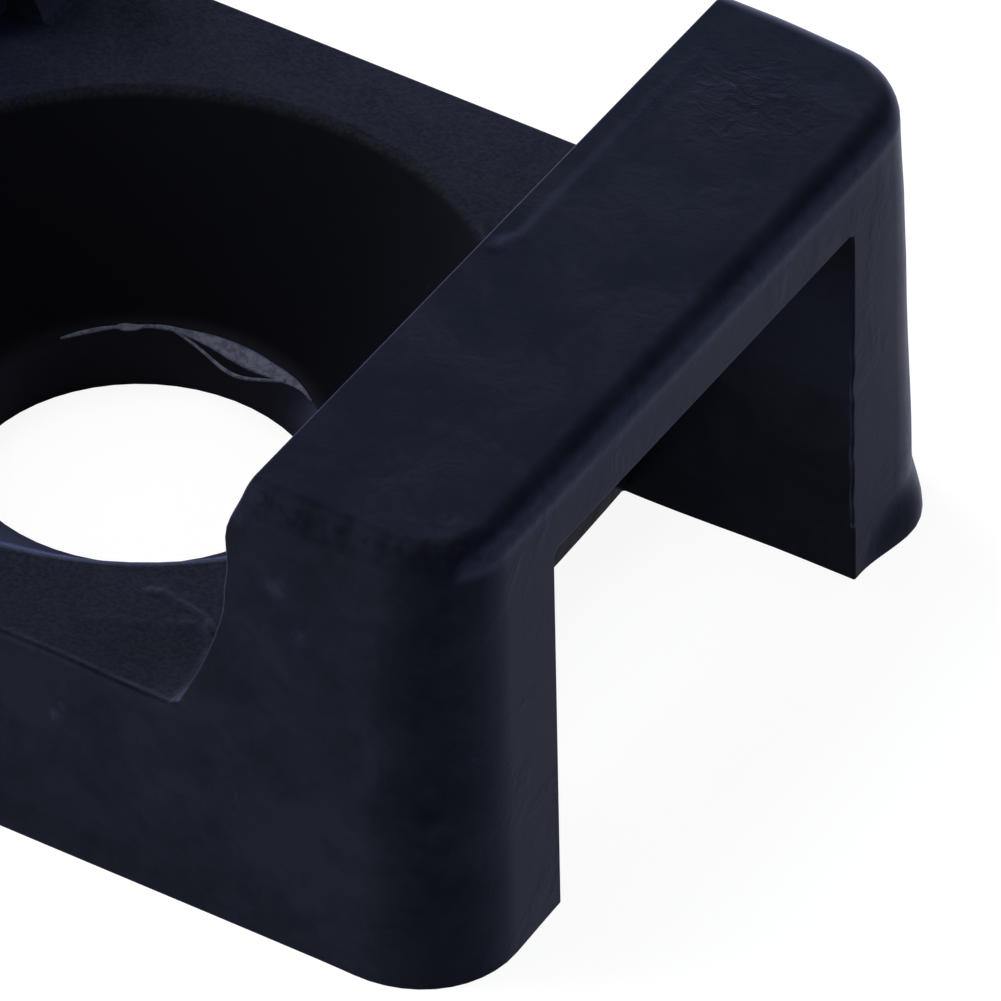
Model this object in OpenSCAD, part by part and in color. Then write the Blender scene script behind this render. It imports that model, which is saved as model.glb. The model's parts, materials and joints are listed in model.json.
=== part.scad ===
// Screw-down cable tie mount, moulded in one piece.
// A block with a countersunk screw hole in its middle and a bridge at each end.
// The tie runs in through the slot under one bridge, over the screw head and
// out under the other bridge. X runs along the mount, Y across it, Z up, and
// the origin is the centre of the bottom face, on the axis of the screw hole.

/* [Body] */
// Length of the bottom face, along X
length = 21.9; // [21:0.1:30]
// Width of the bottom face, along Y
width = 16; // [15.4:0.1:20]
// Height of the bridges' top faces
height = 8.7; // [7.6:0.1:11]
// Height of the low side walls between the bridges
wall_h = 3.95; // [3:0.05:4.6]
// Radius of the upright corners, at the bottom face
corner_r = 1.9; // [1.5:0.1:2.8]
// Mould draft of the outer faces, in degrees
draft = 2.8; // [0.5:0.1:4]
// Rounding of the bridges' outer top edges
edge_r = 0.5; // [0.2:0.05:0.7]

/* [Bridges] */
// Distance between the two bridges, at their inner top edges and at the slots' ends
bridge_gap = 13; // [12.8:0.1:14]
// Thickness of each bridge's bar, along Z
bar_t = 1.45; // [1:0.05:1.8]
// Width of the tie slot between the two legs of a bridge
slot_w = 9.4; // [8:0.1:10]
// Mould draft of the bridges' inner faces, in degrees
flank_draft = 2.8; // [0.5:0.1:4]

/* [Gussets] */
// Height above the side walls at which the gussets run out into the bridges
gusset_h = 3.35; // [2:0.05:4]
// Slope of the gussets at their foot, in degrees from the level
gusset_slope = 62; // [52:1:70]
// Clear width between the two gussets of a bridge
gusset_gap = 11.3; // [10.4:0.1:12.4]

/* [Screw hole] */
// Diameter of the straight bore
bore_d = 6.1; // [4:0.1:6.6]
// Length of the straight bore, up from the bottom face
bore_h = 1.3; // [0.8:0.1:1.8]
// Diameter of the countersink, level with the tops of the side walls
sink_d = 12.2; // [11:0.1:12.4]

/* [Hidden] */
$fn = 96;
// How far a cut runs past the face that it opens
over = 1;
// Underside of the bars, which is the roof of the tie slots
roof_z = height - bar_t;
// Steps in the hollow curve of the gussets
gusset_steps = 8;
// Radius of that curve
gusset_r = gusset_h / (cos(gusset_slope) - sin(flank_draft));
// Half the distance between the bridges' inner faces at a height z
function flank_x(z) = bridge_gap / 2 - (height - z) * tan(flank_draft);
// Points up a gusset's hollow face, from its foot on the side wall to where it
// runs out into the bridge's inner face
function gusset_face() = [
    for (i = [0 : gusset_steps])
        let (slope = gusset_slope + (90 - flank_draft - gusset_slope) * i / gusset_steps)
            [
                flank_x(wall_h + gusset_h) - gusset_r * (cos(flank_draft) - sin(slope)),
                wall_h + gusset_r * (cos(gusset_slope) - cos(slope))
            ]
];

// The rim of an upright section, from a plane that stands reach inside the foot of
// the outer face out to that face. Round the middle of its rounded edge lie what is
// under the top face, what is within the drafted outer face, and the rounding itself.
module rim_section(reach) {
    round_z = height - edge_r;
    round_x = reach - round_z * tan(draft) - edge_r / cos(draft);
    intersection() {
        square([reach, height]);
        translate([round_x, round_z]) {
            translate([-reach, -height]) square([reach, height + edge_r]);
            rotate(draft) translate([-reach, -2 * height]) square([reach + edge_r, 2 * height]);
            intersection() {
                circle(r = edge_r);
                square(2 * edge_r);
                rotate(draft) translate([-edge_r, 0]) square([3 * edge_r, 2 * edge_r]);
            }
        }
    }
}

// The block that everything is cut from, as high as the bridges all over: a core
// as wide as the corners' middles are apart, with the rim run along its four
// sides and turned round its four corners
module blank() {
    corner_x = length / 2 - corner_r;
    corner_y = width / 2 - corner_r;
    translate([-corner_x, -corner_y, 0]) cube([2 * corner_x, 2 * corner_y, height]);
    for (side = [0, 1], turn = [0, 180])
        rotate(turn + 90 * side)
            translate([side == 0 ? corner_x : corner_y, 0, 0])
                rotate([90, 0, 0])
                    linear_extrude(height = 2 * (side == 0 ? corner_y : corner_x), center = true)
                        rim_section(corner_r);
    for (x = [-1, 1], y = [-1, 1])
        translate([x * corner_x, y * corner_y, 0])
            rotate(x > 0 ? (y > 0 ? 0 : 270) : (y > 0 ? 90 : 180))
                rotate_extrude(angle = 90) rim_section(corner_r);
}

// A cut between the bridges, run across the mount and centred. face holds the points
// up its +X side from the side walls, and from the last it goes on up the inner face.
module gap_cut(run, face) {
    side = concat(face, [[flank_x(height + over), height + over]]);
    rotate([90, 0, 0])
        linear_extrude(height = run, center = true)
            polygon(concat(side, [for (i = [len(side) - 1 : -1 : 0]) [-side[i].x, side[i].y]]));
}

// The saddle: over the side walls and down the gussets' hollow faces across the
// whole width, and right up to the bridges' inner faces between the gussets
module saddle_cut() {
    gap_cut(width + 2 * over, gusset_face());
    gap_cut(gusset_gap, [[flank_x(wall_h), wall_h]]);
}

// The tie's way: a slot under each bar, open at the end and at the bottom face,
// and the passage over the middle of the mount from one slot to the other
module tie_way() {
    for (turn = [0, 180])
        rotate(turn)
            translate([bridge_gap / 2, -slot_w / 2, -over])
                cube([length / 2, slot_w, roof_z + over]);
    translate([-length / 2, -slot_w / 2, wall_h])
        cube([length, slot_w, roof_z - wall_h]);
}

// The screw hole, turned round Z: a straight bore, then the countersink
module screw_hole() {
    flare = (sink_d - bore_d) / 2 / (wall_h - bore_h);
    rotate_extrude()
        polygon([
            [0, -over],
            [bore_d / 2, -over],
            [bore_d / 2, bore_h],
            [sink_d / 2 + flare * over, wall_h + over],
            [0, wall_h + over]
        ]);
}

module tie_mount() {
    color([0.11, 0.11, 0.14])
        difference() {
            blank();
            saddle_cut();
            tie_way();
            screw_hole();
        }
}

tie_mount();
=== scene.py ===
"""Screw-down cable tie mount in black nylon, on a white studio floor."""

import json
import math

import bmesh
import bpy
import numpy as np
from mathutils import Matrix, Vector, noise


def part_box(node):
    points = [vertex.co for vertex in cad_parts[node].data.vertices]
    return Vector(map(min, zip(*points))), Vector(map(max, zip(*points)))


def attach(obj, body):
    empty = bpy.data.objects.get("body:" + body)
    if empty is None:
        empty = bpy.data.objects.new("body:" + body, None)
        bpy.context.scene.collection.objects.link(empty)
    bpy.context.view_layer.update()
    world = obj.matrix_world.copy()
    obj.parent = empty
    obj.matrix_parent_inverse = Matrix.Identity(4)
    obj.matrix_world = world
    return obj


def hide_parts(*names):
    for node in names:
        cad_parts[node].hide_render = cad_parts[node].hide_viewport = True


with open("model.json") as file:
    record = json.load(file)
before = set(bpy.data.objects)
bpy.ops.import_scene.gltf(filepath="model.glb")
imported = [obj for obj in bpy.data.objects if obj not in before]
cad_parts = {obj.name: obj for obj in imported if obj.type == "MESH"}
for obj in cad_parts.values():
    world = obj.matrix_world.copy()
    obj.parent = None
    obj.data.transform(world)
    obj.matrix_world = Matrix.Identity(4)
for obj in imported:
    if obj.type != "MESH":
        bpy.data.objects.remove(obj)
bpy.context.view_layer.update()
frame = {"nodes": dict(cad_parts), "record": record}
MM = 0.001

# ---------------------------------------------------------------- camera
CAMERA_AZIMUTH = math.radians(29.956)    # from -Y towards +X
CAMERA_ELEVATION = math.radians(40.403)
CAMERA_ROLL = math.radians(1.853)
CAMERA_LENS = 518.8                      # mm, on a 36 mm sensor
CAMERA_DISTANCE = 239.07 * MM
CAMERA_AIM = Vector((5.078, 3.103, 0.179)) * MM


def direction(azimuth, elevation):
    """Unit vector at an azimuth from -Y towards +X and an elevation, in radians."""
    level = math.cos(elevation)
    return Vector((math.sin(azimuth) * level, -math.cos(azimuth) * level, math.sin(elevation)))


def make_camera():
    """A long lens looking down on the end of the mount at +X."""
    back = direction(CAMERA_AZIMUTH, CAMERA_ELEVATION)
    level = Vector((math.cos(CAMERA_AZIMUTH), math.sin(CAMERA_AZIMUTH), 0))
    right = level * math.cos(CAMERA_ROLL) + back.cross(level) * math.sin(CAMERA_ROLL)
    data = bpy.data.cameras.new("camera")
    data.lens = CAMERA_LENS
    data.sensor_width = 36
    data.clip_start = 0.01
    camera = bpy.data.objects.new("camera", data)
    bpy.context.scene.collection.objects.link(camera)
    axes = Matrix((right, back.cross(right), back)).transposed().to_4x4()
    camera.matrix_world = Matrix.Translation(CAMERA_AIM + back * CAMERA_DISTANCE) @ axes
    bpy.context.scene.camera = camera


make_camera()


# ---------------------------------------------------------------- body
# Sizes of the mount in mm, read off the CAD box and the record's mounts
low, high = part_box("tie_mount")
LENGTH, WIDTH, HEIGHT = ((high - low) / MM)[:]
bore = next(m["dims"] for m in frame["record"]["mounts"] if m["name"] == "screw_hole")
BORE_R, BORE_TOP = bore["r_mm"], bore["length_mm"]
# Other places on the mount in mm
SINK_R = 6.1           # rim of the countersink
WALL_TOP = 3.95        # tops of the side walls
WALL_Y = 7.8           # outer edges of those tops
GUSSET_Y = 5.65        # inner faces of the gussets
GUSSET_TOP = 6.9       # height at which the gussets' inner edges have all but run out
FLANK_FOOT_X = 6.27    # feet of the bridges' inner faces; the slots' edges lie further out
FLANK_FOOT_TOP = 4.15  # a little over those feet


def new_object(name, mesh):
    """A new object in the scene that shows the mesh."""
    obj = bpy.data.objects.new(name, mesh)
    bpy.context.scene.collection.objects.link(obj)
    return obj


def applied(obj):
    """The object's mesh with its modifiers applied, as a new mesh."""
    graph = bpy.context.evaluated_depsgraph_get()
    mesh = bpy.data.meshes.new_from_object(
        obj.evaluated_get(graph), preserve_all_data_layers=True, depsgraph=graph)
    obj.modifiers.clear()
    return mesh


# How an edge is told to lie at one of those places, in mm
END_BAND = 0.6         # in from each end face
SIDE_BAND = 1.0        # in from each side face
NEAR = 0.02            # to either side of any other place

# How far each kind of edge is rounded, in mm
FOOT_ROUNDING = 0.035
BORE_ROUNDING = 0.06
END_ROUNDING = 0.045
OUTER_ROUNDING = 0.05
GUSSET_ROUNDING = 0.02
SLOT_ROUNDING = 0.05
INNER_ROUNDING = 0.12
FULL_ROUNDING = 0.2    # what a bevel weight of 1 stands for

SMOOTH_ANGLE = math.radians(18)    # faces that turn less than this run smoothly together
FLAT_ANGLE = math.radians(0.5)     # and less than this, they are one flat face
MERGE_DISTANCE = 1e-4              # mm, between points that are taken as one


def edge_width(edge):
    """Rounding of an edge of the mount in mm, or 0 where its two faces run smoothly together."""
    if len(edge.link_faces) != 2 or edge.calc_face_angle() < SMOOTH_ANGLE:
        return 0
    x, y, z = (edge.verts[0].co + edge.verts[1].co) / 2
    if z < NEAR:
        return FOOT_ROUNDING
    if math.hypot(x, y) < BORE_R + NEAR:
        return BORE_ROUNDING
    if abs(x) > LENGTH / 2 - END_BAND:
        return END_ROUNDING
    if abs(y) > WIDTH / 2 - SIDE_BAND or z > HEIGHT - NEAR:
        return OUTER_ROUNDING
    if abs(abs(y) - GUSSET_Y) < NEAR and z > WALL_TOP - NEAR:
        return GUSSET_ROUNDING if z < GUSSET_TOP else 0
    if abs(x) > FLANK_FOOT_X - NEAR and z < FLANK_FOOT_TOP:
        return SLOT_ROUNDING
    return INNER_ROUNDING


# Swellings and dents left by the mould and by handling: middle, reach and push, in mm
# along X, Y and Z. Each fades out smoothly from its middle to its reach.
DENTS = (
    # the near inner corner of the bridge at +X swells out over the gap
    ((6.35, -7.9, 7.75), (1.2, 1.3, 0.85), (-0.20, -0.02, 0)),
    ((6.20, -7.9, 6.85), (1.2, 1.1, 0.75), (-0.10, 0, 0)),
    # the far corner of that bridge is pulled in at the top
    ((9.90, 7.30, 8.90), (2.6, 2.4, 2.6), (-0.10, -0.12, 0)),
    ((10.3, 7.30, 7.20), (2.0, 2.0, 2.4), (-0.05, -0.05, 0)),
    ((10.3, 7.30, 4.80), (2.0, 2.0, 3.6), (-0.05, -0.05, 0)),
    # and stands out at the foot
    ((10.2, 7.10, 0.00), (2.2, 2.0, 0.9), (0.11, 0.09, 0)),
    ((10.8, 6.20, 0.00), (1.3, 1.3, 0.9), (0.14, 0, 0)),
    # so do the near corner and the near side, a little
    ((10.4, -6.9, 0.00), (2.2, 2.4, 2.8), (0.05, -0.06, 0)),
    ((0.0, -8.00, 0.00), (9.0, 0.6, 0.8), (0, -0.045, 0)),
    # the block's end and the far leg stand out at their feet in the slot
    ((6.50, 1.50, 0.00), (1.0, 6.0, 2.5), (0.12, 0, 0)),
    ((6.80, 4.70, 0.00), (3.0, 0.8, 2.5), (0, -0.10, 0)),
    # the top of the near wall sinks towards the gusset
    ((5.00, -7.30, 3.95), (1.9, 1.3, 0.5), (0, 0, -0.06)),
    # a knock in the near corner
    ((10.05, -7.50, 3.70), (0.30, 0.30, 0.55), (-0.03, 0.04, 0)),
    ((10.20, -7.40, 3.00), (0.25, 0.25, 0.40), (-0.02, 0.03, 0)),
)

# Raised lines of flash: the points along each, half its width, its height and the way it
# stands out, in mm, and how uneven it is
RIDGES = (
    # round the top of the near wall
    (((-5.4, -7.80, 3.95), (3.3, -7.81, 3.95), (4.5, -7.82, 3.92), (5.48, -7.81, 3.90)),
     0.17, 0.026, (0, -0.5, 0.7), 0.4),
    # up the foot of the gusset and across the sunken top
    (((5.50, -7.80, 3.92), (5.47, -7.44, 3.95), (5.41, -6.82, 3.95), (5.31, -6.30, 3.95),
      (5.14, -6.06, 3.95), (4.93, -5.88, 3.95), (4.77, -5.81, 3.95), (4.27, -5.70, 3.95),
      (3.91, -5.64, 3.95), (3.73, -5.72, 3.95)), 0.16, 0.020, (-0.4, 0, 1), 0.5),
    (((4.93, -5.95, 3.95), (4.45, -6.22, 3.95), (3.15, -6.86, 3.95)), 0.17, 0.008, (0, 0, 1), 0.8),
    (((4.75, -5.95, 3.95), (5.05, -6.00, 3.95)), 0.18, 0.009, (0, 0, 1), 0.3),
    # down the far side of the slot's mouth
    (((10.90, 4.70, 1.2), (10.70, 4.70, 5.2)), 0.10, 0.05, (0, -1, 0), 1.8),
    # a nick turned up on the bar's inner edge
    (((6.76, -0.28, 8.70), (6.95, 0.12, 8.70)), 0.20, 0.010, (0, 0, 1), 1.2),
)
RAGGED_SCALE = 2.3     # bumps per mm along an uneven ridge
NORMAL_STEP = 0.01     # mm to each side of a point, between which its new normal is taken


def along(path, points):
    """Distance of each point from a path of straight stretches."""
    nearest = np.full(len(points), np.inf)
    for start, end in zip(path, path[1:]):
        start, end = np.array(start), np.array(end)
        run = end - start
        share = np.clip((points - start) @ run / (run @ run), 0, 1)
        distance = np.linalg.norm(points - start - share[:, None] * run, axis=1)
        nearest = np.minimum(nearest, distance)
    return nearest


def deformed(points):
    """Where the swellings, dents and ridges bring points of the body, one row each."""
    moved = points.copy()
    for middle, reach, push in DENTS:
        away = (((points - middle) / reach) ** 2).sum(axis=1)
        moved += np.outer(np.clip(1 - away, 0, 1) ** 2, push)
    for path, half_width, height, way, uneven in RIDGES:
        rise = np.clip(1 - (along(path, points) / half_width) ** 2, 0, 1) ** 2
        for i in np.flatnonzero(rise):
            rise[i] *= max(0, 1 + uneven * noise.noise(Vector(points[i]) * RAGGED_SCALE))
        moved += np.outer(rise * height, way)
    return moved


def turned(normals, points):
    """The surface's normals at points after the swellings, dents and ridges."""
    # Z or X, whichever lies well apart from each normal
    axis = np.where(np.abs(normals[:, 2:]) < 0.7, (0.0, 0.0, 1.0), (1.0, 0.0, 0.0))
    side = np.cross(normals, axis)
    side *= NORMAL_STEP / np.linalg.norm(side, axis=1)[:, None]
    other = np.cross(normals, side)
    across = deformed(points + side) - deformed(points - side)
    return np.cross(across, deformed(points + other) - deformed(points - other))


# Boxes in which the faces are cut along a grid so that they can bend: the steps along X,
# Y and Z and two corners, in mm
GRIDS = (
    # the near wall's sunken top, the ridges on it and up the gusset's foot, and its rim
    ((0.25, 0.25, 0.25), (2.6, -8.0, 3.3), (6.4, -5.4, 4.5)),
    ((0.05, 0.05, 0.05), (3.5, -6.9, 3.8), (5.65, -5.5, 4.1)),
    ((0.05, 0.15, 0.10), (5.2, -7.7, 3.8), (5.65, -6.9, 4.1)),
    ((0.30, 0.035, 0.035), (-5.6, -7.95, 3.78), (5.7, -7.60, 4.08)),
    # the swollen inner corner and the pulled-in far corner
    ((0.2, 0.2, 0.2), (5.6, -8.0, 5.6), (8.0, -6.4, 8.7)),
    ((0.25, 0.25, 0.40), (7.0, 4.8, 1.2), (11.0, 8.0, 8.7)),
    # the feet: near corner, near side, block's end and far leg in the slot, far corner
    ((0.40, 0.40, 0.30), (8.4, -8.0, 0.0), (11.0, -4.6, 2.7)),
    ((1.00, 0.30, 0.20), (-6.0, -8.0, 0.0), (8.4, -7.4, 0.8)),
    ((0.50, 0.80, 0.50), (6.3, -4.8, 0.0), (6.7, 4.8, 2.8)),
    ((0.60, 0.30, 0.50), (6.4, 4.5, 0.0), (10.0, 5.1, 2.6)),
    ((0.15, 0.15, 0.15), (7.8, 4.9, 0.0), (11.0, 8.0, 1.2)),
    # the slot's ragged mouth, the nick on the bar and the knocks in the near corner
    ((0.05, 0.04, 0.08), (10.55, 4.55, 1.0), (10.95, 4.85, 5.4)),
    ((0.05, 0.06, 0.05), (6.35, -0.75, 8.4), (7.05, 0.25, 8.7)),
    ((0.08, 0.08, 0.10), (9.70, -7.75, 2.5), (10.45, -7.1, 4.3)),
)


def cut_into_grid(bm, steps, low_corner, high_corner):
    """Cuts the faces in a box along planes that stand about the steps apart."""

    def reaches_into_box(face, axis):
        places = [vert.co[axis] for vert in face.verts]
        return min(places) < high_corner[axis] and max(places) > low_corner[axis]

    faces = [f for f in bm.faces if all(reaches_into_box(f, axis) for axis in range(3))]
    verts = {vert for face in faces for vert in face.verts}
    edges = {edge for face in faces for edge in face.edges}
    geometry = [*verts, *edges, *faces]
    for axis in range(3):
        normal = Vector([float(i == axis) for i in range(3)])
        span = high_corner[axis] - low_corner[axis]
        count = round(span / steps[axis])
        for i in range(count + 1):
            place = low_corner[axis] + span * i / count
            cut = bmesh.ops.bisect_plane(
                bm, geom=geometry, dist=MERGE_DISTANCE, plane_co=normal * place, plane_no=normal)
            geometry = cut["geom"]


def rounded_solid():
    """The CAD solid in mm, with every sharp edge rounded as a mould leaves it."""
    bm = bmesh.new()
    bm.from_mesh(frame["nodes"]["tie_mount"].data)
    bmesh.ops.scale(bm, vec=Vector((1, 1, 1)) / MM, verts=bm.verts)
    bmesh.ops.remove_doubles(bm, verts=bm.verts, dist=MERGE_DISTANCE)
    bmesh.ops.dissolve_limit(bm, angle_limit=FLAT_ANGLE, verts=bm.verts, edges=bm.edges)
    weight = bm.edges.layers.float.new("bevel_weight_edge")
    for edge in bm.edges:
        edge[weight] = edge_width(edge) / FULL_ROUNDING
    mesh = bpy.data.meshes.new("moulded_body")
    bm.to_mesh(mesh)
    bm.free()
    body = new_object("moulded_body", mesh)
    bevel = body.modifiers.new("edges", "BEVEL")
    bevel.limit_method = "WEIGHT"
    bevel.width = FULL_ROUNDING
    bevel.segments = 4
    bevel.use_clamp_overlap = False
    bevel.loop_slide = True
    bevel.miter_outer = "MITER_ARC"
    body.data = applied(body)
    return body


def bend(body):
    """Brings the swellings, dents and ridges into the body, and turns its mm into metres."""
    bm = bmesh.new()
    bm.from_mesh(body.data)
    bmesh.ops.remove_doubles(bm, verts=bm.verts, dist=MERGE_DISTANCE)
    bm.normal_update()
    smooth = bm.verts.layers.float_vector.new("smooth")
    for vert in bm.verts:
        by_area = sum((face.normal * face.calc_area() for face in vert.link_faces), Vector())
        vert[smooth] = by_area.normalized()
    for steps, low_corner, high_corner in GRIDS:
        cut_into_grid(bm, steps, low_corner, high_corner)
    bm.normal_update()
    points = np.array([vert.co for vert in bm.verts])
    # the smooth normals run on over the cuts, save where their sum came to nothing
    normals = np.array([
        vert[smooth] if vert[smooth].length > 0.1 else vert.normal for vert in bm.verts])
    shading = turned(normals, points)
    for vert, place in zip(bm.verts, deformed(points)):
        vert.co = place
    bmesh.ops.scale(bm, vec=Vector((1, 1, 1)) * MM, verts=bm.verts)
    for face in bm.faces:
        face.smooth = True
    bm.verts.layers.float_vector.remove(smooth)
    bm.to_mesh(body.data)
    bm.free()
    shading /= np.linalg.norm(shading, axis=1)[:, None]
    body.data.normals_split_custom_set_from_vertices(shading.tolist())


def moulded_body():
    """The mount itself, with its rounded edges and its uneven places."""
    body = rounded_solid()
    bend(body)
    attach(body, "root")
    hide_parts("tie_mount")
    return body


body = moulded_body()


# ---------------------------------------------------------------- flash in the hole
# Strands of flash along the edge between the bore and the countersink. Each station is the
# angle round the hole in degrees, how far in and down from the edge its middle lies, and
# half its width, in mm.
STRANDS = {
    "flash_line": (
        (149, 0.04, 0.00, 0.015), (143, 0.04, 0.00, 0.040), (136, 0.03, 0.00, 0.045),
        (131, 0.02, 0.00, 0.030), (129, 0.03, 0.00, 0.065), (127, 0.05, 0.00, 0.080),
        (124, 0.06, 0.00, 0.060), (121, 0.03, 0.00, 0.035), (117, 0.03, 0.00, 0.045),
        (114, 0.04, 0.00, 0.050), (111, 0.05, 0.00, 0.045),
    ),
    "flash_film": (
        (113, 0.05, 0.00, 0.040), (106, 0.09, 0.02, 0.080), (98, 0.13, 0.04, 0.130),
        (90, 0.17, 0.06, 0.170), (82, 0.18, 0.07, 0.180), (76, 0.16, 0.06, 0.150),
        (70, 0.12, 0.04, 0.120), (65, 0.07, 0.02, 0.080), (60, 0.04, 0.00, 0.040),
        (54, 0.03, 0.00, 0.012),
    ),
    "flash_thread": (
        (112, 0.07, 0.02, 0.020), (107, 0.20, 0.05, 0.024), (101, 0.35, 0.08, 0.028),
        (95, 0.48, 0.11, 0.032), (89, 0.57, 0.13, 0.036), (83, 0.59, 0.13, 0.036),
        (77, 0.51, 0.10, 0.034), (71, 0.32, 0.06, 0.030), (67, 0.16, 0.03, 0.020),
    ),
}
FLASH_RISE = 0.02      # half the thickness of a strand, in mm
FLASH_FALL = 0.35      # how far a strand's section falls for each mm inwards, in mm
STATION_STEPS = 8      # stations on the curve for each one given
OVAL_SIDES = 8         # corners of a strand's section


def smooth_stations(stations):
    """The stations with more between them, on a smooth curve through all of them."""
    rows = [Vector(s) for s in stations]
    rows = [2 * rows[0] - rows[1], *rows, 2 * rows[-1] - rows[-2]]
    smooth = []
    for before, start, end, after in zip(rows, rows[1:], rows[2:], rows[3:]):
        squared = 2 * before - 5 * start + 4 * end - after
        cubed = 3 * (start - end) + after - before
        for i in range(STATION_STEPS):
            t = i / STATION_STEPS
            smooth.append(start + 0.5 * t * ((end - before) + t * (squared + t * cubed)))
    smooth.append(rows[-2])
    return smooth


def strand(name, stations):
    """A thin strip of flash round part of the hole, oval in section."""
    bm = bmesh.new()
    rings = []
    for angle, inward, drop, half_width in smooth_stations(stations):
        turn = math.radians(angle)
        inwards = Vector((-math.cos(turn), -math.sin(turn), -FLASH_FALL)).normalized()
        middle = Vector((math.cos(turn), math.sin(turn), 0)) * (BORE_R - inward)
        middle.z = BORE_TOP - drop
        rise = Vector((0, 0, FLASH_RISE))
        ring = []
        for i in range(OVAL_SIDES):
            around = 2 * math.pi * i / OVAL_SIDES
            place = middle + inwards * half_width * math.cos(around) + rise * math.sin(around)
            ring.append(bm.verts.new(place * MM))
        rings.append(ring)
    for ring, following in zip(rings, rings[1:]):
        for i in range(OVAL_SIDES):
            j = (i + 1) % OVAL_SIDES
            bm.faces.new((ring[i], ring[j], following[j], following[i]))
    bm.faces.new(rings[0][::-1])
    bm.faces.new(rings[-1])
    bmesh.ops.recalc_face_normals(bm, faces=bm.faces)
    for face in bm.faces:
        face.smooth = True
    mesh = bpy.data.meshes.new(name)
    bm.to_mesh(mesh)
    bm.free()
    piece = new_object(name, mesh)
    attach(piece, "root")
    return piece


flash = [strand(name, stations) for name, stations in STRANDS.items()]


# ---------------------------------------------------------------- material
class Nodes:
    """Short ways to add and join the nodes of one material."""

    def __init__(self, name):
        self.material = bpy.data.materials.new(name)
        self.material.use_nodes = True
        self.tree = self.material.node_tree
        self.shader = self.tree.nodes["Principled BSDF"]
        texture_place = self.tree.nodes.new("ShaderNodeTexCoord").outputs["Object"]
        self.place = self.vector("MULTIPLY", texture_place, (1 / MM, 1 / MM, 1 / MM))

    def join(self, value, socket):
        """Gives an input a number or a colour, or links it to another node's output."""
        if isinstance(value, bpy.types.NodeSocket):
            self.tree.links.new(value, socket)
        else:
            socket.default_value = value

    def vector(self, operation, one, other):
        """What an operation on two vectors gives."""
        node = self.tree.nodes.new("ShaderNodeVectorMath")
        node.operation = operation
        self.join(one, node.inputs[0])
        self.join(other, node.inputs[1])
        return node.outputs["Value"] if operation == "DISTANCE" else node.outputs["Vector"]

    def math(self, operation, one, other=0.0):
        """What an operation on one or two numbers gives."""
        node = self.tree.nodes.new("ShaderNodeMath")
        node.operation = operation
        self.join(one, node.inputs[0])
        self.join(other, node.inputs[1])
        return node.outputs[0]

    def times(self, one, other):
        return self.math("MULTIPLY", one, other)

    def plus(self, one, other):
        return self.math("ADD", one, other)

    def noise(self, per_mm, detail=2.0, roughness=0.5, distortion=0.0):
        """Noise from 0 to 1 with so many bumps per mm."""
        node = self.tree.nodes.new("ShaderNodeTexNoise")
        self.join(self.place, node.inputs["Vector"])
        node.inputs["Scale"].default_value = per_mm
        node.inputs["Detail"].default_value = detail
        node.inputs["Roughness"].default_value = roughness
        node.inputs["Distortion"].default_value = distortion
        return node.outputs["Fac"]

    def ramp(self, value, start, end, low_value=0.0, high_value=1.0):
        """low_value up to start, high_value past end, and a smooth way between."""
        node = self.tree.nodes.new("ShaderNodeMapRange")
        node.interpolation_type = "SMOOTHSTEP"
        for number, socket in zip((value, start, end, low_value, high_value), node.inputs):
            self.join(number, socket)
        return node.outputs["Result"]

    def blend(self, share, one, other):
        """A colour that goes from one to the other with share."""
        node = self.tree.nodes.new("ShaderNodeMix")
        node.data_type = "RGBA"
        self.join(share, node.inputs["Factor"])
        self.join(one, node.inputs["A"])
        self.join(other, node.inputs["B"])
        return next(out for out in node.outputs if out.type == "RGBA" and out.enabled)

    def near(self, point, reach):
        """1 at a point, down to 0 at its reach."""
        return self.below(self.vector("DISTANCE", self.place, point), 0.0, reach)

    def below(self, value, start, end):
        """1 up to start, 0 past end, and a smooth way between."""
        return self.ramp(value, start, end, 1.0, 0.0)

    def band(self, value, start, full, waning, end):
        """0 up to start, 1 from full to waning, 0 past end, and smooth ways between."""
        return self.times(self.ramp(value, start, full), self.below(value, waning, end))

    def axes(self):
        """The place along X, Y and Z in mm."""
        node = self.tree.nodes.new("ShaderNodeSeparateXYZ")
        self.join(self.place, node.inputs[0])
        return node.outputs

    def bump(self, height, distance):
        """The shading normal over a height that is distance mm at 1."""
        node = self.tree.nodes.new("ShaderNodeBump")
        node.inputs["Distance"].default_value = distance * MM
        self.join(height, node.inputs["Height"])
        self.join(node.outputs["Normal"], self.shader.inputs["Normal"])


# Colours of the nylon, with painted shade for the countersink and painted light for the bore and
# the flash film
BLACK = (0.0036, 0.0039, 0.0052, 1)
GREY_BLACK = (0.0070, 0.0076, 0.0104, 1)
# painted shade: the countersink is coloured darker, as if shaded by the bridges
HOLE_PAINTED_SHADE = (0.0034, 0.0034, 0.0042, 1)
# painted light: the bore wall is coloured paler, as if lit through the hole
BORE_PAINTED_LIGHT = (0.0170, 0.0165, 0.0220, 1)
WALL_GREY = (0.0150, 0.0160, 0.0215, 1)
SCUFF_AND_HIGHLIGHT_PALE = (0.016, 0.018, 0.030, 1)
# painted light: the film's colours stand in for light coming through it
FILM_PAINTED_LIGHT_DARK = (0.070, 0.076, 0.110, 1)
FILM_PAINTED_LIGHT_PALE = (0.150, 0.158, 0.210, 1)
SPECULAR_TINT = (0.45, 0.56, 1.0, 1)
SHEEN_TINT = (0.36, 0.46, 1.0, 1)
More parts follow.
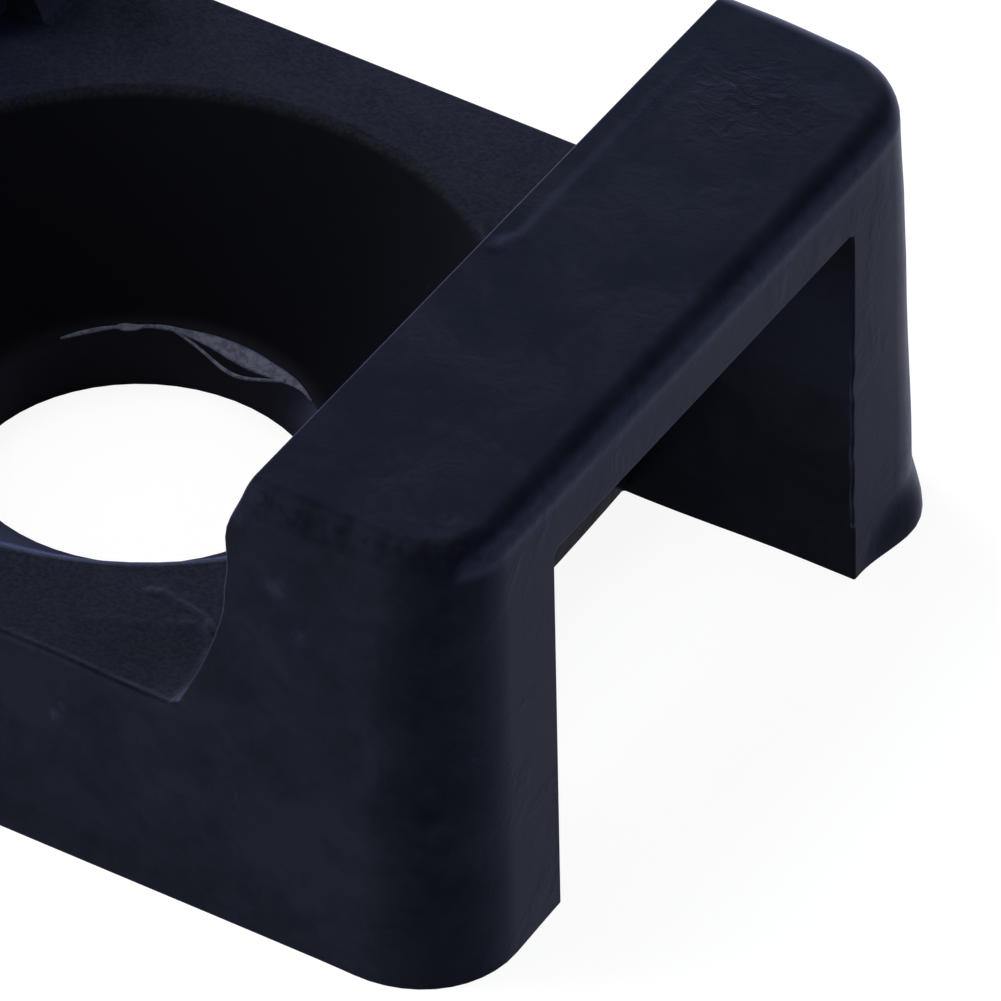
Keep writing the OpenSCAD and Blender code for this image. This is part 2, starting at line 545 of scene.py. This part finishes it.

# Pale scuffs and painted highlights: middle and reach in mm, and strength
SCUFFS_AND_PAINTED_HIGHLIGHTS = (
    # small spots on the near side, the gusset's foot and the bar's edges
    ((3.30, -7.87, 2.71), 0.20, 1.0),
    ((3.42, -7.86, 2.95), 0.14, 1.0),
    ((6.87, -0.05, 8.70), 0.36, 1.0),
    ((6.46, -7.60, 8.27), 0.35, 1.0),
    ((7.24, -7.65, 7.08), 0.32, 1.0),
    ((7.74, -7.69, 6.26), 0.25, 1.0),
    ((9.66, -6.40, 8.60), 0.30, 1.0),
    ((4.98, -5.98, 3.95), 0.25, 1.0),
    # painted highlight along the near top edge's rounding
    ((6.60, -7.45, 8.62), 0.55, 0.7),
    ((7.30, -7.48, 8.62), 0.55, 0.5),
    ((8.00, -7.48, 8.62), 0.50, 0.4),
    ((8.70, -7.45, 8.62), 0.50, 0.4),
    ((9.35, -7.30, 8.60), 0.50, 0.4),
    ((9.85, -6.90, 8.60), 0.50, 0.5),
)
# Where the melt left swirls on the top of the bar, and how far they reach, in mm
SWIRLS = ((8.3, 5.2, 8.7), 2.4)


def nylon():
    """Black nylon: fine grain, cloudy patches with swirls, small pale scuffs, painted highlights
    on the top edges, painted shade in the countersink and painted light in the bore.
    """
    nodes = Nodes("nylon")
    times, plus, ramp, below = nodes.times, nodes.plus, nodes.ramp, nodes.below
    cloudy = nodes.noise(0.55, detail=3, roughness=0.55, distortion=0.6)
    mottle = nodes.noise(2.6, detail=4, roughness=0.6, distortion=1.2)
    swirl = nodes.noise(3.6, detail=3, roughness=0.6, distortion=0.8)
    grain = nodes.noise(13.0, detail=2, roughness=0.6)

    # 1 in the hole, on the side walls' tops or along the end faces' top edges, 0 elsewhere
    x, y, z = nodes.axes()
    across = nodes.math("ABSOLUTE", y)
    outwards = nodes.math("ABSOLUTE", x)
    radius = nodes.math("SQRT", plus(times(x, x), times(y, y)))
    sunk = below(z, WALL_TOP - 0.07, WALL_TOP - 0.01)
    # the hole's masks carry painted shade in the countersink, painted light in the bore and a
    # rougher finish
    in_hole = times(below(radius, SINK_R + 0.05, SINK_R + 0.2), sunk)
    in_bore = times(in_hole, below(z, BORE_TOP - 0.1, BORE_TOP + 0.2))
    wall_top = nodes.band(z, WALL_TOP - 0.15, WALL_TOP - 0.05, WALL_TOP + 0.05, WALL_TOP + 0.25)
    wall_top = times(wall_top, below(outwards, 5.5, 6.0))
    wall_top = times(wall_top, below(across, WALL_Y - 0.06, WALL_Y + 0.04))
    # painted highlight on the rounding along the end faces' top edges
    end_rim_highlight = nodes.band(z, HEIGHT - 0.7, HEIGHT - 0.5, HEIGHT - 0.25, HEIGHT - 0.05)
    end_rim_highlight = times(end_rim_highlight, ramp(outwards, LENGTH / 2 - 0.85, LENGTH / 2 - 0.65))

    # a few scuffs anywhere, the painted highlight along the end rims, and the scuffs and painted
    # highlights at their own places
    scuff_and_highlight = ramp(nodes.noise(3.2, detail=3, roughness=0.7), 0.70, 0.78, 0.0, 0.6)
    scuff_and_highlight = nodes.math("MAXIMUM", scuff_and_highlight, times(end_rim_highlight, ramp(mottle, 0.3, 0.7, 0.4, 1)))
    for middle, reach, strength in SCUFFS_AND_PAINTED_HIGHLIGHTS:
        spot = times(nodes.near(middle, reach), ramp(mottle, 0.2, 0.7, 0, strength))
        scuff_and_highlight = nodes.math("MAXIMUM", scuff_and_highlight, spot)

    cloud_share = ramp(plus(cloudy, times(mottle, 0.5)), 0.55, 0.95)
    colour = nodes.blend(cloud_share, BLACK, GREY_BLACK)
    # painted shade in the countersink
    colour = nodes.blend(in_hole, colour, HOLE_PAINTED_SHADE)
    # painted light on the bore wall
    colour = nodes.blend(in_bore, colour, BORE_PAINTED_LIGHT)
    speckle = times(wall_top, ramp(grain, 0.35, 0.65, 0.25, 0.85))
    colour = nodes.blend(speckle, colour, WALL_GREY)
    # pale scuffs, and painted highlights along the top edges
    colour = nodes.blend(scuff_and_highlight, colour, SCUFF_AND_HIGHLIGHT_PALE)
    nodes.join(colour, nodes.shader.inputs["Base Color"])

    cloudy_roughness = ramp(cloudy, 0.35, 0.65, -0.03, 0.03)
    mottled_roughness = ramp(mottle, 0.3, 0.7, 0.33, 0.39)
    roughness = plus(plus(cloudy_roughness, mottled_roughness), times(in_hole, 0.4))
    nodes.join(roughness, nodes.shader.inputs["Roughness"])

    relief = times(mottle, ramp(cloudy, 0.48, 0.64, 0.15, 0.8))
    relief = plus(relief, times(swirl, times(nodes.near(*SWIRLS), 2.0)))
    grain_depth = plus(times(wall_top, 0.35), 0.18)
    nodes.bump(plus(relief, times(grain, grain_depth)), 0.012)
    finish(nodes.shader)
    return nodes.material


def flash_nylon_painted_backlight():
    """The same nylon where it is a thin film, with the light that comes through it painted into a
    paler colour.
    """
    nodes = Nodes("flash_nylon_painted_backlight")
    streaks = nodes.noise(6.0, detail=3, roughness=0.6, distortion=1.0)
    # painted light through the film
    colour = nodes.blend(nodes.ramp(streaks, 0.35, 0.65), FILM_PAINTED_LIGHT_DARK, FILM_PAINTED_LIGHT_PALE)
    nodes.join(colour, nodes.shader.inputs["Base Color"])
    nodes.join(nodes.ramp(streaks, 0.3, 0.7, 0.30, 0.42), nodes.shader.inputs["Roughness"])
    nodes.bump(streaks, 0.006)
    finish(nodes.shader)
    return nodes.material


def finish(shader):
    """The gloss that is the same all over the nylon."""
    shader.inputs["Specular IOR Level"].default_value = 0.02
    shader.inputs["Specular Tint"].default_value = SPECULAR_TINT
    shader.inputs["Sheen Weight"].default_value = 0.28
    shader.inputs["Sheen Roughness"].default_value = 0.38
    shader.inputs["Sheen Tint"].default_value = SHEEN_TINT


body.data.materials.clear()
body.data.materials.append(nylon())
film = flash_nylon_painted_backlight()
for piece in flash:
    piece.data.materials.append(film)


# ---------------------------------------------------------------- stage
FLOOR_SIZE = 2                           # metres
FLOOR_COLOUR = (0.8, 0.8, 0.8, 1)
SEEN_FLOOR_COLOUR = (0.2, 0.2, 0.2, 1)   # what is left to take the shadow
SEEN_FLOOR_GLOW = 0.91
WORLD_STRENGTH = 0.08


def white_floor():
    """A pale floor that the camera sees as white, apart from the soft shadow of the mount."""
    bpy.ops.mesh.primitive_plane_add(size=FLOOR_SIZE, location=(0, 0, low.z))
    floor = bpy.context.object
    floor.name = "floor"
    material = bpy.data.materials.new("floor")
    material.use_nodes = True
    nodes, links = material.node_tree.nodes, material.node_tree.links
    nodes.clear()
    output = nodes.new("ShaderNodeOutputMaterial")
    paths = nodes.new("ShaderNodeLightPath")
    camera_or_glossy = nodes.new("ShaderNodeMath")
    camera_or_glossy.operation = "MAXIMUM"
    links.new(paths.outputs["Is Camera Ray"], camera_or_glossy.inputs[0])
    links.new(paths.outputs["Is Glossy Ray"], camera_or_glossy.inputs[1])
    seen = nodes.new("ShaderNodeMath")
    seen.operation = "MAXIMUM"
    links.new(camera_or_glossy.outputs[0], seen.inputs[0])
    links.new(paths.outputs["Is Transmission Ray"], seen.inputs[1])
    diffuse = nodes.new("ShaderNodeBsdfDiffuse")
    diffuse.inputs["Color"].default_value = FLOOR_COLOUR
    dim = nodes.new("ShaderNodeBsdfDiffuse")
    dim.inputs["Color"].default_value = SEEN_FLOOR_COLOUR
    glow = nodes.new("ShaderNodeEmission")
    glow.inputs["Strength"].default_value = SEEN_FLOOR_GLOW
    both = nodes.new("ShaderNodeAddShader")
    links.new(dim.outputs[0], both.inputs[0])
    links.new(glow.outputs[0], both.inputs[1])
    mix = nodes.new("ShaderNodeMixShader")
    links.new(seen.outputs[0], mix.inputs[0])
    links.new(diffuse.outputs[0], mix.inputs[1])
    links.new(both.outputs[0], mix.inputs[2])
    links.new(mix.outputs[0], output.inputs["Surface"])
    floor.data.materials.append(material)


def dim_world():
    """An even, faint white light from everywhere."""
    world = bpy.data.worlds.new("world")
    bpy.context.scene.world = world
    world.use_nodes = True
    background = world.node_tree.nodes["Background"]
    background.inputs["Color"].default_value = (1, 1, 1, 1)
    background.inputs["Strength"].default_value = WORLD_STRENGTH


white_floor()
dim_world()
bpy.context.scene.view_settings.view_transform = "Standard"


# ---------------------------------------------------------------- lights
WHITE = (1, 1, 1)
COOL = (0.75, 0.83, 1)
BLUE = (0.62, 0.72, 1)
# Softboxes round the mount: azimuth from -Y towards +X and elevation in degrees, power in
# watts, colour
SOFTBOXES = {
    "overhead": (290, 66, 0.35, WHITE),
    "front": (0, 12, 0.26, COOL),
    "right_front": (50, 12, 0.13, COOL),
    "right_back": (120, 12, 0.33, BLUE),
    "high_back": (170, 45, 0.07, WHITE),
    "back": (200, 12, 0.15, WHITE),
    "back_left": (250, 12, 1.12, WHITE),
    "left": (300, 12, 0.95, WHITE),
}
SOFTBOX_SIZE = 0.15        # metres
SOFTBOX_DISTANCE = 0.3     # metres, from the frame's origin


def softbox(name, azimuth, elevation, power, colour):
    """A square area light that faces the mount."""
    data = bpy.data.lights.new(name, "AREA")
    data.shape = "SQUARE"
    data.size = SOFTBOX_SIZE
    data.energy = power
    data.color = colour
    lamp = bpy.data.objects.new(name, data)
    bpy.context.scene.collection.objects.link(lamp)
    toward = direction(math.radians(azimuth), math.radians(elevation))
    lamp.location = toward * SOFTBOX_DISTANCE
    lamp.rotation_euler = toward.to_track_quat("Z", "Y").to_euler()


for name, light in SOFTBOXES.items():
    softbox(name, *light)
